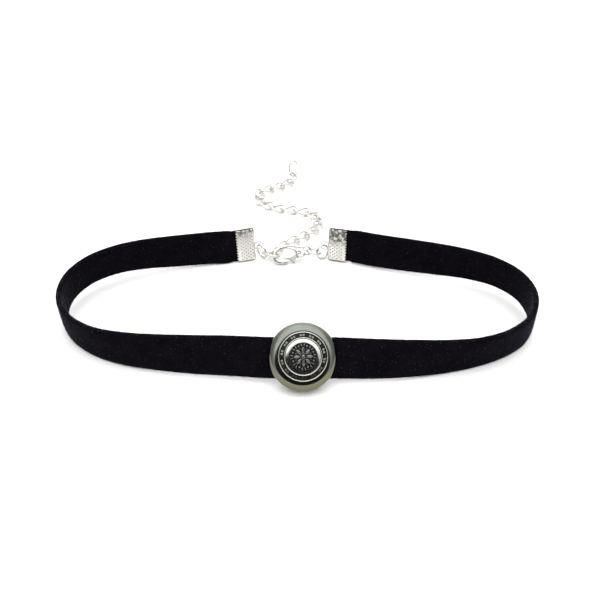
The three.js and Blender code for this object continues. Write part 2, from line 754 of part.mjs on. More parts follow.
function outlined(shares) {
  return new THREE.Shape(shares.map(([x, y]) => new THREE.Vector2(x * claspLength, y * claspWidth)));
}

function plate(shape, thickness) {
  const geometry = new THREE.ExtrudeGeometry(shape, {
    depth: thickness, bevelEnabled: false, curveSegments: 10,
  });
  geometry.translate(0, 0, -thickness / 2);
  return geometry;
}

function disk(x, y, radius, thickness) {
  const shape = new THREE.Shape();
  shape.absarc(x, y, radius, 0, 2 * Math.PI);
  return plate(shape, thickness);
}

// Thin at the hook, full round the pivot, thin again at the tail
function claspThicknessAt(x) {
  const { smoothstep, lerp } = THREE.MathUtils;
  const swollen = smoothstep(x, claspLength * 0.2, claspLength * 0.55);
  const tail = smoothstep(x, claspLength * 0.76, claspLength * 0.87);
  return lerp(lerp(claspHookThickness, claspThickness, swollen), claspTailThickness, tail);
}

function claspBlank() {
  const outline = outlined([...claspOuterEdge, ...claspInnerEdge, ...claspCheekEdge]);
  const geometry = new THREE.ExtrudeGeometry(outline, {
    depth: claspFlat,
    bevelThickness: claspRounding,
    bevelSize: claspRounding,
    bevelOffset: -claspRounding,
    bevelSegments: 2,
  });
  geometry.translate(0, 0, -claspFlat / 2);
  const drawnThickness = claspFlat + 2 * claspRounding;
  const places = geometry.attributes.position;
  for (let i = 0; i < places.count; i += 1) {
    places.setZ(i, (places.getZ(i) * claspThicknessAt(places.getX(i))) / drawnThickness);
  }
  return geometry;
}

function claspBody() {
  const slotStart = claspLength / 2;
  const slotEnd = pivotX + leverBossRadius + gap;
  const slotTop = pivotY + leverBossRadius + gap;
  const slotBottom = -claspWidth;
  const slotWidth = leverThickness + 2 * leverSlotGap;
  const slot = new THREE.BoxGeometry(slotEnd - slotStart, slotTop - slotBottom, slotWidth);
  slot.translate((slotStart + slotEnd) / 2, (slotTop + slotBottom) / 2, 0);
  return toSolid(claspBlank())
    .add(toSolid(disk(claspTailEye, 0, claspTailRadius, claspTailThickness)))
    .subtract(toSolid(slot))
    .subtract(toSolid(disk(pivotX, pivotY, rivetRadius + gap, 2 * claspThickness)))
    .subtract(toSolid(disk(claspTailEye, 0, tailEyeRadius, 2 * claspThickness)));
}

function claspLever() {
  const arm = outlined([...leverLowerEdge, ...leverUpperEdge]);
  return toSolid(plate(arm, leverThickness))
    .add(toSolid(disk(pivotX, pivotY, leverBossRadius, leverThickness)))
    .subtract(toSolid(disk(pivotX, pivotY, rivetRadius + gap, 2 * claspThickness)));
}

const claspPlace = placed(claspRun, claspAcross, claspStart);
addPiece('clasp_body', toGeometry(claspBody()), silver, claspPlace);
addPiece('clasp_lever', toGeometry(claspLever()), silver, claspPlace);
const rivet = toSolid(disk(pivotX, pivotY, rivetRadius, claspThickness));
addPiece('clasp_rivet', toGeometry(rivet), silver, claspPlace);
addRing('tail_ring', tailRing, tailRingRun, tailRingAcross);

// Stand the whole on its own footprint's middle
const extent = new THREE.Box3().setFromObject(necklace, true);
const footing = extent.getCenter(vector(0, 0, 0)).setZ(extent.min.z);
necklace.children.forEach((piece) => {
  piece.position.sub(footing);
});

export default necklace;
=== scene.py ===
import json
import math

import bpy
import numpy as np
from mathutils import Matrix, Vector, noise


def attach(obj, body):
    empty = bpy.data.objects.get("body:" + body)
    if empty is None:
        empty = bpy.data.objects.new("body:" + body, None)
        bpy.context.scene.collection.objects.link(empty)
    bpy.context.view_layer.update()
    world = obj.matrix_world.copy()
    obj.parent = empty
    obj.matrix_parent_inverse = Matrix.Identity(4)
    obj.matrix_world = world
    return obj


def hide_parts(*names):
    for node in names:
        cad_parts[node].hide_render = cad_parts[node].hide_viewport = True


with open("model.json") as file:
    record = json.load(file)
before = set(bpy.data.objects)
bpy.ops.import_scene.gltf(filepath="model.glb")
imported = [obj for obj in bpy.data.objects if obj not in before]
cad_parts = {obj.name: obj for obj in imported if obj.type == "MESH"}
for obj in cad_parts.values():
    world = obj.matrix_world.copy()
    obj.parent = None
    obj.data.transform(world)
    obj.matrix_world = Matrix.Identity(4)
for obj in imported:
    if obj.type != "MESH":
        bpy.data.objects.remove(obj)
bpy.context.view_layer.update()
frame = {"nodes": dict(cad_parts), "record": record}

mm = 0.001
scene = bpy.context.scene

# Where the photographed layout's own middle lies in the part's frame, in mm
layout = {"x": 0.8992, "y": -20.7802, "z": 0.0396}
layoutMiddle = np.array([layout["x"], layout["y"], layout["z"]])


# Camera, as the photo was taken: from the front and above
view = {"back": 192.02, "height": 129.52, "lens": 47.98, "sensor": 36}

cameraData = bpy.data.cameras.new("view")
cameraData.lens = view["lens"]
cameraData.sensor_width = view["sensor"]
cameraData.clip_start = 0.01
cameraData.clip_end = 10
camera = bpy.data.objects.new("view", cameraData)
scene.collection.objects.link(camera)
camera.location = Vector(layoutMiddle + [0, -view["back"], view["height"]]) * mm
camera.rotation_mode = "QUATERNION"
camera.rotation_quaternion = Vector((0, view["back"], -view["height"])).to_track_quat("-Z", "Y")
scene.camera = camera


# Small helpers
def unit(values):
    values = np.array(values, float)
    return values / np.linalg.norm(values)


def makeMesh(name, points, faces, material, crease=None):
    # Points in mm; edges bent by more than crease degrees stay crisp
    mesh = bpy.data.meshes.new(name)
    mesh.from_pydata([tuple(p) for p in np.asarray(points, float) * mm], [], faces)
    mesh.validate()
    mesh.update()
    mesh.polygons.foreach_set("use_smooth", [True] * len(mesh.polygons))
    if crease:
        mesh.set_sharp_from_angle(angle=math.radians(crease))
    mesh.materials.append(material)
    piece = bpy.data.objects.new(name, mesh)
    scene.collection.objects.link(piece)
    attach(piece, "choker")
    return piece


def gridFaces(rows, around, closedAlong=False, start=0):
    # Quads between rings of points, each ring closed on itself
    faces = []
    for i in range(rows if closedAlong else rows - 1):
        here = start + i * around
        following = start + ((i + 1) % rows) * around
        for k in range(around):
            beside = (k + 1) % around
            faces.append((here + k, here + beside, following + beside, following + k))
    return faces


def tube(line, radius, sides, closed):
    # Rings of points round a line, carried along it without a twist
    line = np.asarray(line, float)
    if closed:
        travel = np.roll(line, -1, axis=0) - np.roll(line, 1, axis=0)
    else:
        travel = np.gradient(line, axis=0)
    travel /= np.linalg.norm(travel, axis=1)[:, None]
    side = np.array([0, 0, 1.0]) if abs(travel[0][2]) < 0.9 else np.array([1.0, 0, 0])
    radii = np.broadcast_to(radius, len(line))
    turns = np.linspace(0, 2 * math.pi, sides, endpoint=False)
    sidesOf = []
    for along in travel:
        side = unit(side - along * side.dot(along))
        sidesOf.append(side)
    sidesOf = np.array(sidesOf)
    if closed:
        # spread the turn that is left over at the join along the whole loop
        last = sidesOf[-1] - travel[0] * sidesOf[-1].dot(travel[0])
        slip = math.atan2(np.cross(last, sidesOf[0]).dot(travel[0]), last.dot(sidesOf[0]))
        shares = np.linspace(0, 1, len(line), endpoint=False) * slip
        others = np.cross(travel, sidesOf)
        sidesOf = sidesOf * np.cos(shares)[:, None] + others * np.sin(shares)[:, None]
    others = np.cross(travel, sidesOf)
    rings = (
        line[:, None, :]
        + sidesOf[:, None, :] * (radii[:, None] * np.cos(turns))[:, :, None]
        + others[:, None, :] * (radii[:, None] * np.sin(turns))[:, :, None]
    )
    return rings.reshape(-1, 3)


def capFaces(count, around, start=0):
    # The flat ends of a tube of rings
    first = tuple(start + k for k in reversed(range(around)))
    last = tuple(start + (count - 1) * around + k for k in range(around))
    return [first, last]


def signedPower(values, power):
    return np.sign(values) * np.abs(values) ** power


def steppedRound(points, count, scale=1):
    # A closed line's points, evenly spaced along its length
    closed = np.vstack([points, points[:1]])
    steps = np.linalg.norm(np.diff(closed * scale, axis=0), axis=1)
    travelled = np.hstack([0, np.cumsum(steps)])
    marks = np.linspace(0, travelled[-1], count, endpoint=False)
    return np.stack([np.interp(marks, travelled, column) for column in closed.T], axis=1)


fineSteps = 4000


def fineTurns():
    return np.linspace(0, 2 * math.pi, fineSteps, endpoint=False)


def meshPlaces(mesh):
    places = np.empty(len(mesh.vertices) * 3)
    mesh.vertices.foreach_get("co", places)
    return places.reshape(-1, 3) / mm


def nodePoints(name):
    # The node's separate places, in mm
    return np.unique(np.round(meshPlaces(frame["nodes"][name].data), 5), axis=0)


def spread(places):
    # The middle of some places, and their ways from the thinnest to the longest
    middle = places.mean(0)
    return middle, np.linalg.eigh(np.cov((places - middle).T))[1]


def ownAxes(name):
    # Middle, long way, broad way and thin way of a node that is alike at both ends
    middle, ways = spread(nodePoints(name))
    run, across = ways[:, 2], ways[:, 1]
    return middle, run, across, np.cross(run, across)


def paint(mesh, attribute, values):
    # A number at each vertex, for the materials to read
    layer = mesh.attributes.new(attribute, "FLOAT", "POINT")
    layer.data.foreach_set("value", np.asarray(values, np.float32))


# Materials
def newMaterial(name):
    material = bpy.data.materials.new(name)
    material.use_nodes = True
    tree = material.node_tree
    return material, tree.nodes, tree.links, tree.nodes["Principled BSDF"]


def addNode(nodes, kind, **inputs):
    node = nodes.new(kind)
    for key, value in inputs.items():
        node.inputs[key.replace("_", " ")].default_value = value
    return node


def ramp(nodes, links, source, stops, between="LINEAR"):
    node = nodes.new("ShaderNodeValToRGB")
    node.color_ramp.interpolation = between
    elements = node.color_ramp.elements
    while len(elements) > len(stops):
        elements.remove(elements[-1])
    for i, (place, colour) in enumerate(stops):
        if i >= len(elements):
            elements.new(place)
        elements[i].position = place
        elements[i].color = (*colour, 1)
    links.new(source, node.inputs["Fac"])
    return node.outputs["Color"]


def grey(value):
    return (value, value, value)


def objectPlace(nodes):
    return nodes.new("ShaderNodeTexCoord").outputs["Object"]


def mottled(nodes, links, place, scale, detail, roughness):
    texture = addNode(nodes, "ShaderNodeTexNoise", Scale=scale, Detail=detail, Roughness=roughness)
    links.new(place, texture.inputs["Vector"])
    return texture.outputs["Fac"]


def addGrain(nodes, links, shader, place, scale, roughness, strength, depth):
    # Fine unevenness of the surface
    grain = mottled(nodes, links, place, scale, 2, roughness)
    bump = addNode(nodes, "ShaderNodeBump", Strength=strength, Distance=depth)
    links.new(grain, bump.inputs["Height"])
    links.new(bump.outputs["Normal"], shader.inputs["Normal"])


def marked(nodes, attribute):
    node = nodes.new("ShaderNodeAttribute")
    node.attribute_name = attribute
    return node.outputs["Fac"]


def blend(nodes, links, share, first, second):
    # First colour to second colour as share goes from 0 to 1
    mixed = nodes.new("ShaderNodeMix")
    mixed.data_type = "RGBA"
    links.new(share, mixed.inputs["Factor"])
    for colour, socket in ((first, mixed.inputs[6]), (second, mixed.inputs[7])):
        if isinstance(colour, tuple):
            socket.default_value = (*colour, 1)
        else:
            links.new(colour, socket)
    return mixed.outputs[2]


velvetLook = {
    "dark": (0.0021, 0.0017, 0.0028),
    "light": (0.0042, 0.0035, 0.0057),
    "tip": (0.17, 0.153, 0.195),
    "brushedScale": 260,
    "grainScale": 3800,
    "grainStrength": 0.5,
    "grainDepth": 0.0001,
    "roughness": 0.95,
    "specular": 0.03,
    "sheen": 0.055,
    "sheenRoughness": 0.32,
    "sheenTint": (0.55, 0.58, 0.85),
}


def velvetMaterial(name, tufted):
    # Tufts take their tone from the random tone and painted highlight stored on them, the ground from
    # where it was brushed
    look = velvetLook
    material, nodes, links, shader = newMaterial(name)
    place = objectPlace(nodes)
    if tufted:
        tone = marked(nodes, "toneAndHighlight")
        # the tip colour is reached by randomly pale tufts and by the painted highlight on tufts facing up
        stops = [(0, look["dark"]), (0.6, look["light"]), (1, look["tip"])]
    else:
        tone = mottled(nodes, links, place, look["brushedScale"], 3, 0.6)
        stops = [(0.35, look["dark"]), (0.7, look["light"])]
    links.new(ramp(nodes, links, tone, stops), shader.inputs["Base Color"])
    addGrain(
        nodes, links, shader, place,
        look["grainScale"], 0.5, look["grainStrength"], look["grainDepth"],
    )
    shader.inputs["Roughness"].default_value = look["roughness"]
    shader.inputs["Specular IOR Level"].default_value = look["specular"]
    shader.inputs["Sheen Weight"].default_value = look["sheen"]
    shader.inputs["Sheen Roughness"].default_value = look["sheenRoughness"]
    shader.inputs["Sheen Tint"].default_value = (*look["sheenTint"], 1)
    return material


metalLook = {
    "patchScale": 420,
    "roughest": 1.35,
    "smoothest": 0.8,
    "grainScale": 5200,
    "grainDepth": 0.00005,
}


def metalMaterial(name, colour, dull, roughness, scratch, marks=None, paintedLowerTint=None):
    # Plated metal: a little uneven in tone and polish, finely scratched.
    # marks: a painted attribute and its colour; patina: painted light, a tint that comes in towards the
    # floor
    material, nodes, links, shader = newMaterial(name)
    place = objectPlace(nodes)
    patches = mottled(nodes, links, place, metalLook["patchScale"], 4, 0.55)
    tone = ramp(nodes, links, patches, [(0.3, dull), (0.65, colour)])
    # painted light: a tint that comes in towards the floor, set by height
    if paintedLowerTint:
        split = nodes.new("ShaderNodeSeparateXYZ")
        links.new(place, split.inputs["Vector"])
        height = nodes.new("ShaderNodeMapRange")
        height.inputs["From Min"].default_value = paintedLowerTint["full"] * mm
        height.inputs["From Max"].default_value = paintedLowerTint["none"] * mm
        height.inputs["To Min"].default_value = 1
        height.inputs["To Max"].default_value = 0
        links.new(split.outputs["Z"], height.inputs["Value"])
        tone = blend(nodes, links, height.outputs["Result"], tone, paintedLowerTint["colour"])
    if marks:
        tone = blend(nodes, links, marked(nodes, marks[0]), tone, marks[1])
    links.new(tone, shader.inputs["Base Color"])
    rough, smooth = roughness * metalLook["roughest"], roughness * metalLook["smoothest"]
    polish = ramp(nodes, links, patches, [(0.25, grey(rough)), (0.75, grey(smooth))])
    links.new(polish, shader.inputs["Roughness"])
    addGrain(
        nodes, links, shader, place,
        metalLook["grainScale"], 0.7, scratch, metalLook["grainDepth"],
    )
    shader.inputs["Metallic"].default_value = 1
    return material


velvet = velvetMaterial("velvet_ground", tufted=False)
velvetTips = velvetMaterial("velvet_pile", tufted=True)
silver = metalMaterial("silver_plating", (0.6, 0.59, 0.575), (0.53, 0.52, 0.495), 0.22, 0.03)
chainSilver = metalMaterial(
    "silver_plating_chain", (0.64, 0.627, 0.595), (0.6, 0.587, 0.55), 0.48, 0.03,
)
clampSilver = metalMaterial(
    "silver_plating_dotted", (0.74, 0.725, 0.68), (0.66, 0.645, 0.6), 0.28, 0.03,
    # painted shade in the pits and painted dark reflection near the plates' tops, in this dark colour
    marks=("paintedDarkness", (0.045, 0.045, 0.04)),
)
gunmetal = metalMaterial(
    "gunmetal_plating", (0.148, 0.158, 0.14), (0.13, 0.138, 0.122), 0.11, 0.04,
    # painted highlight: the rings' beads and the medallion's shoulder in a pale colour
    marks=("paintedHighlight", (0.5, 0.51, 0.49)),
    # painted reflection: the floor's warm light on the button's lower part
    paintedLowerTint={"full": 2.5, "none": 9.0, "colour": (0.15, 0.147, 0.093)},
)


# The ribbon: where it stands, row by row, from the front's middle round to each clamp
ribbon = {
    "width": 10.0,
    "thickness": 1.2,
    "gripThickness": 0.7,
    "mouthRun": 1.4,
    "leftReach": 65.4,
    "rightReach": 63.6,
    "frontDepth": 35.1,
    "backDepth": 24.1,
    "edgeSharpness": 5.0,
    "stations": 900,
    "stepsPerRow": 120,
    "around": 60,
    "nap": 0.2,
    "ruffle": 0.05,
    "fineWaves": 2.6,
    "broadWaves": 0.7,
    "broadShare": 0.6,
    "freeAfter": 2.0,
    "floorGap": 0.02,
}
clamp = {
    "length": 5.2,
    "height": 9.7,
    "plate": 0.4,
    "air": 0.25,
    "leftAngle": 17.0,
    "rightAngle": 18.7,
    "leftPitch": 0.0,
    "rightPitch": 3.0,
    "lean": 12.0,
    "mountShare": 0.45,
}
clamp["fold"] = ribbon["gripThickness"] / 2 + clamp["air"] + clamp["plate"]
clamp["reach"] = clamp["fold"] + clamp["length"]

frontMiddle = (0, 0, -29, 0.2)
leftFrontRows = [  # across, along, lean, lift
    (0.12, 0.001, -28.5, 0.198),
    (0.27, 0.012, -22, 0.18),
    (0.41, 0.025, -15, 0.14),
    (0.55, 0.047, -6, 0.09),
    (0.69, 0.082, 2, 0.05),
    (0.815, 0.14, 7.5, 0.02),
    (0.922, 0.237, 8.5, 0.03),
    (0.989, 0.372, 4, 0.08),
    (0.995, 0.525, -4, 0.16),
]
leftBackRows = [
    (0.909, 0.665, -9.7, 0.22),
    (0.756, 0.772, -9.7, 0.22),
    (0.571, 0.842, -5, 0.17),
    (0.37, 0.889, 2, 0.11),
    (0.169, 0.932, 7.5, 0.06),
]
rightFrontRows = [
    (0.15, -0.001, -27.5, 0.19),
    (0.297, -0.002, -18.5, 0.136),
    (0.439, 0.007, -8.5, 0.083),
    (0.58, 0.029, 2.5, 0.036),
    (0.717, 0.067, 9.8, 0.01),
    (0.846, 0.135, 11, 0.012),
    (0.948, 0.24, 6.6, 0.037),
    (0.997, 0.382, -1, 0.12),
    (0.973, 0.532, -8, 0.2),
]
rightBackRows = [
    (0.85, 0.653, -10, 0.23),
    (0.691, 0.738, -6, 0.2),
    (0.516, 0.799, 1.6, 0.15),
    (0.336, 0.852, 8, 0.11),
    (0.159, 0.907, 11.5, 0.07),
]


def standing(travel, leans):
    # Directions across the ribbon and out of its outer face
    travel = np.atleast_2d(travel)
    outward = np.cross(travel, [0, 0, 1.0])
    outward /= np.linalg.norm(outward, axis=1)[:, None]
    upright = np.cross(outward, travel)
    upright /= np.linalg.norm(upright, axis=1)[:, None]
    tilt = np.radians(np.atleast_1d(leans))[:, None]
    across = upright * np.cos(tilt) + outward * np.sin(tilt)
    facing = outward * np.cos(tilt) - upright * np.sin(tilt)
    return across, facing


def clampFrame(side):
    # The clamp's fold, its way towards the clasp, across and out of its face
    turn = clamp["leftAngle"] if side == "left" else 180 - clamp["rightAngle"]
    turn, fall = math.radians(turn), math.radians(clamp[side + "Pitch"])
    towards = np.array([
        math.cos(turn) * math.cos(fall), math.sin(turn) * math.cos(fall), -math.sin(fall),
    ])
    across, facing = standing(towards * (-1 if side == "left" else 1), clamp["lean"])
    across, facing = across[0], facing[0]
    plates = frame["record"]["mounts"]
    plate = next(m for m in plates if m["name"] == side + "_clamp_plate")
    axis = np.array(plate["axis"])
    end = np.array(plate["pos_m"]) / mm - axis * clamp["fold"]
    end = end + towards * (clamp["fold"] + clamp["length"] * clamp["mountShare"])
    return {"end": end, "towards": towards, "across": across, "facing": facing}


clamps = {side: clampFrame(side) for side in ("left", "right")}


def ribbonKnots():
    # The ribbon's middle line and lean at each row, left end to right end
    def row(across, along, lean, lift, x):
        height = lift * ribbon["width"] + ribbon["width"] / 2 * math.cos(math.radians(lean))
        y = -ribbon["frontDepth"] + along * (ribbon["frontDepth"] + ribbon["backDepth"])
        return [*(np.array([x, y, height]) + layoutMiddle), lean]

    def gripped(side):
        held = clamps[side]
        backs = [clamp["fold"], clamp["reach"] / 2, clamp["reach"] + ribbon["mouthRun"]]
        return [[*(held["end"] - held["towards"] * back), clamp["lean"]] for back in backs]

    def half(side, frontRows, backRows):
        sign = -1 if side == "left" else 1
        reach = sign * ribbon[side + "Reach"]
        mouth = gripped(side)[2][0] - layoutMiddle[0]
        rows = [row(*r, reach * r[0]) for r in frontRows]
        return rows + [row(*r, mouth + r[0] * (reach - mouth)) for r in backRows]

    return np.array(
        gripped("left")
        + half("left", leftFrontRows, leftBackRows)[::-1]
        + [row(*frontMiddle, 0)]
        + half("right", rightFrontRows, rightBackRows)
        + gripped("right")[::-1]
    )


def smoothThrough(knots, steps):
    # A smooth line through the rows, with the lean carried evenly along it
    places, leans = knots[:, :3], knots[:, 3]
    places = np.vstack([2 * places[0] - places[1], places, 2 * places[-1] - places[-2]])
    leans = np.hstack([2 * leans[0] - leans[1], leans, 2 * leans[-1] - leans[-2]])
    line, tilt = [], []
    for i in range(1, len(places) - 2):
        p0, p1, p2, p3 = places[i - 1:i + 3]
        d0, d1, d2 = (math.sqrt(np.linalg.norm(b - a)) for a, b in ((p0, p1), (p1, p2), (p2, p3)))
        t1 = ((p1 - p0) / d0 - (p2 - p0) / (d0 + d1) + (p2 - p1) / d1) * d1
        t2 = ((p2 - p1) / d1 - (p3 - p1) / (d1 + d2) + (p3 - p2) / d2) * d1
        l0, l1, l2, l3 = leans[i - 1:i + 3]
        m1, m2 = (l2 - l0) / 2, (l3 - l1) / 2
        for t in np.linspace(0, 1, steps, endpoint=i == len(places) - 3):
            a, b = 2 * t**3 - 3 * t**2 + 1, t**3 - 2 * t**2 + t
            c, d = -2 * t**3 + 3 * t**2, t**3 - t**2
            line.append(a * p1 + b * t1 + c * p2 + d * t2)
            tilt.append(a * l1 + b * m1 + c * l2 + d * m2)
    return np.array(line), np.array(tilt)


def ribbonStations():
    # Evenly spaced places along the ribbon, with its directions and thickness at each
    line, tilt = smoothThrough(ribbonKnots(), ribbon["stepsPerRow"])
    travelled = np.hstack([0, np.cumsum(np.linalg.norm(np.diff(line, axis=0), axis=1))])
    marks = np.linspace(0, travelled[-1], ribbon["stations"])
    middle = np.stack([np.interp(marks, travelled, column) for column in line.T], axis=1)
    lean = np.interp(marks, travelled, tilt)
    travel = np.gradient(middle, axis=0)
    travel /= np.linalg.norm(travel, axis=1)[:, None]
    across, facing = standing(travel, lean)
    fromEnd = np.minimum(marks, marks[-1] - marks)
    growth = clamp["reach"] + 2 * ribbon["mouthRun"] - clamp["length"]
    grown = np.clip((fromEnd - clamp["length"]) / growth, 0, 1)
    grown = grown * grown * (3 - 2 * grown)
    thick = ribbon["gripThickness"] + (ribbon["thickness"] - ribbon["gripThickness"]) * grown
    return {
        "middle": middle, "travel": travel, "across": across, "facing": facing,
        "thick": thick, "fromEnd": fromEnd, "length": travelled[-1],
    }


def ribbonOutline(around):
    # The ribbon's cut shape, evenly stepped: shares of the half width and half thickness
    turns = fineTurns()
    power = 2 / ribbon["edgeSharpness"]
    shape = np.stack([signedPower(np.cos(turns), power), signedPower(np.sin(turns), power)], axis=1)
    return steppedRound(shape, around, np.array([ribbon["width"] / 2, ribbon["thickness"] / 2]))


def onRibbon(middle, across, facing, thick, shape):
    # Places and outward directions on the ribbon's surface, at shares of its half width and thickness
    halfWidth, halfThick = ribbon["width"] / 2, thick / 2
    side, out = shape[..., :1], shape[..., 1:]
    places = middle + across * side * halfWidth + facing * out * halfThick
    power = ribbon["edgeSharpness"] - 1
    outward = across * signedPower(side, power) / halfWidth
    outward = outward + facing * signedPower(out, power) / halfThick
    return places, outward / np.linalg.norm(outward, axis=-1, keepdims=True)


def ruffle(place):
    fine = noise.noise(Vector(place * ribbon["fineWaves"]))
    return fine + ribbon["broadShare"] * noise.noise(Vector(place * ribbon["broadWaves"]))


def makeRibbon():
    lie = ribbonStations()
    places, outward = onRibbon(
        lie["middle"][:, None], lie["across"][:, None], lie["facing"][:, None],
        lie["thick"][:, None, None], ribbonOutline(ribbon["around"])[None],
    )
    count, around = places.shape[:2]
    waves = np.array([ruffle(p) for p in places.reshape(-1, 3)]).reshape(count, around)
    free = np.clip((lie["fromEnd"] - clamp["reach"]) / ribbon["freeAfter"], 0, 1)
    lift = (waves * ribbon["ruffle"] + ribbon["nap"]) * free[:, None]
    places = places + outward * lift[:, :, None]
    places[:, :, 2] = np.maximum(places[:, :, 2], ribbon["floorGap"])
    faces = gridFaces(count, around) + capFaces(count, around)
    piece = makeMesh("velvet_ribbon", places.reshape(-1, 3), faces, velvet)
    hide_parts("ribbon")
    return piece, lie


velvetRibbon, ribbonLie = makeRibbon()
print("ribbon", round(float(ribbonLie["length"]), 2), "mm long")


# The velvet's pile: short leaning tufts over both faces and edges, each a slim pyramid
pile = {
    "seed": 23,
    "count": 44000,
    "around": 400,
    "length": (0.16, 0.38),
    "root": 0.045,
    "sunk": 0.12,
    "lean": 0.55,
    "stray": 0.35,
    "tangle": 0.2,
    "scatter": 0.16,
    "edgeFrom": 0.94,
    "edgeShare": 0.22,
    # strength of the painted highlight on tufts facing up along the upper edge
    "edgeHighlight": 0.45,
    "clearOfClamp": 0.6,
    "floorGap": 0.01,
}


def makePile(lie):
    count = pile["count"]
    draw = np.random.default_rng(pile["seed"])
    station = draw.uniform(0, ribbon["stations"] - 1, count).astype(int)
    outline = ribbonOutline(pile["around"])
    at = draw.integers(0, pile["around"], count)
    # the cut edges carry more tufts than their narrow share of the outline
    edges = np.flatnonzero(np.abs(outline[:, 0]) > pile["edgeFrom"])
    at = np.where(draw.uniform(0, 1, count) < pile["edgeShare"], edges[at % len(edges)], at)
    keep = lie["fromEnd"][station] > clamp["reach"] + pile["clearOfClamp"]
    station, at = station[keep], at[keep]
    count = len(station)
    across, facing, travel = (lie[way][station] for way in ("across", "facing", "travel"))
    along = draw.uniform(-pile["scatter"], pile["scatter"], count)[:, None]
    middle = lie["middle"][station] + travel * along
    root, outward = onRibbon(middle, across, facing, lie["thick"][station][:, None], outline[at])
    lay = across * -pile["lean"] + travel * draw.normal(0, pile["stray"], count)[:, None]
    way = outward + lay + draw.normal(0, pile["tangle"], (count, 3))
    way /= np.linalg.norm(way, axis=1)[:, None]
    tall = draw.uniform(*pile["length"], count)[:, None]
    one = np.cross(way, travel)
    one /= np.linalg.norm(one, axis=1)[:, None]
    other = np.cross(way, one)
    root = root + outward * ribbon["nap"]
    foot = root - outward * pile["sunk"]
    corners = [
        foot + (one * math.cos(t) + other * math.sin(t)) * pile["root"]
        for t in np.linspace(0, 2 * math.pi, 3, endpoint=False)
    ]
    points = np.stack([*corners, root + way * tall], axis=1).reshape(-1, 3)
    points[:, 2] = np.maximum(points[:, 2], pile["floorGap"])
    faces = []
    for a in range(0, 4 * count, 4):
        faces += [(a, a + 1, a + 3), (a + 1, a + 2, a + 3), (a + 2, a, a + 3), (a, a + 2, a + 1)]
    piece = makeMesh("velvet_pile", points, faces, velvetTips)
    # painted highlight: tufts facing up along the upper edge are made paler, as if lit from above
    highlightShare = np.clip(outward[:, 2], 0, 1) ** 2
    toneAndHighlight = draw.uniform(0, 1, count) ** 3 + pile["edgeHighlight"] * highlightShare
    paint(piece.data, "toneAndHighlight", np.repeat(np.clip(toneAndHighlight, 0, 1), 4))
    return piece


velvetPile = makePile(ribbonLie)
print("pile set")


# The button
button = {
    "radius": 8.5,
    "tilt": 38.0,
    "turn": 4.0,
    "rim": 0.4,
    "rimRound": 0.12,
    "rimInset": 0.05,
    "edgeWidth": 0.18,
    "edgeHeight": 0.2,
    "band": 2.0,
    "bandFoot": 0.03,
    "backHollow": 0.6,
    "backRim": 0.6,
    "backSlope": 0.5,
    "outerRing": 5.95,
    "innerRing": 4.58,
    "bead": 0.36,
    "beadHeight": 0.38,
    "beadFoot": 0.6,
    "channel": 0.42,
    "fillet": 0.04,
    "medallion": 3.7,
    "rise": 1.1,
    "step": 0.15,
    "boss": 0.5,
    "shoulder": 0.15,
    "shoulderBend": 1.5,
    "shoulderTop": 0.18,
    "shoulderTuck": 0.22,
    "shoulderStart": 1.25,
    "shoulderLip": 0.05,
    "sunk": 0.1,
    "sides": 256,
    "crease": 32,
}
buttonTop = button["rim"] + button["band"]
channelFloor = buttonTop - button["channel"]
discTop = channelFloor + button["step"] + button["rise"]


def buttonFrame():
    # The middle of the disc's back, and its own ways across, up and out
    tilt, turn = math.radians(button["tilt"]), math.radians(button["turn"])
    across = np.array([math.cos(turn), math.sin(turn), 0])
    facing = np.cross(across, [0, 0, 1.0]) * math.cos(tilt) + np.array([0, 0, math.sin(tilt)])
    upright = np.cross(facing, across)
    places = nodePoints("button")
    away = places @ facing
    back = away.max() - discTop - button["boss"]
    disc = places[away > back - 0.01]
    sideways = ((disc @ across).min() + (disc @ across).max()) / 2
    lifted = ((disc @ upright).min() + (disc @ upright).max()) / 2
    middle = across * sideways + upright * lifted + facing * back
    return middle, across, upright, facing


discMiddle, discAcross, discUp, discFacing = buttonFrame()
print("button middle", np.round(discMiddle, 3))


def onDisc(points):
    # Disc places (x, y, out) to the part's frame
    x, y, out = np.asarray(points, float).T[:, :, None]
    return discMiddle + x * discAcross + y * discUp + out * discFacing


def arc(centre, radius, start, end, steps):
    turns = np.radians(np.linspace(start, end, steps))
    x, y = centre[0] + radius[0] * np.cos(turns), centre[1] + radius[1] * np.sin(turns)
    return list(zip(x, y))


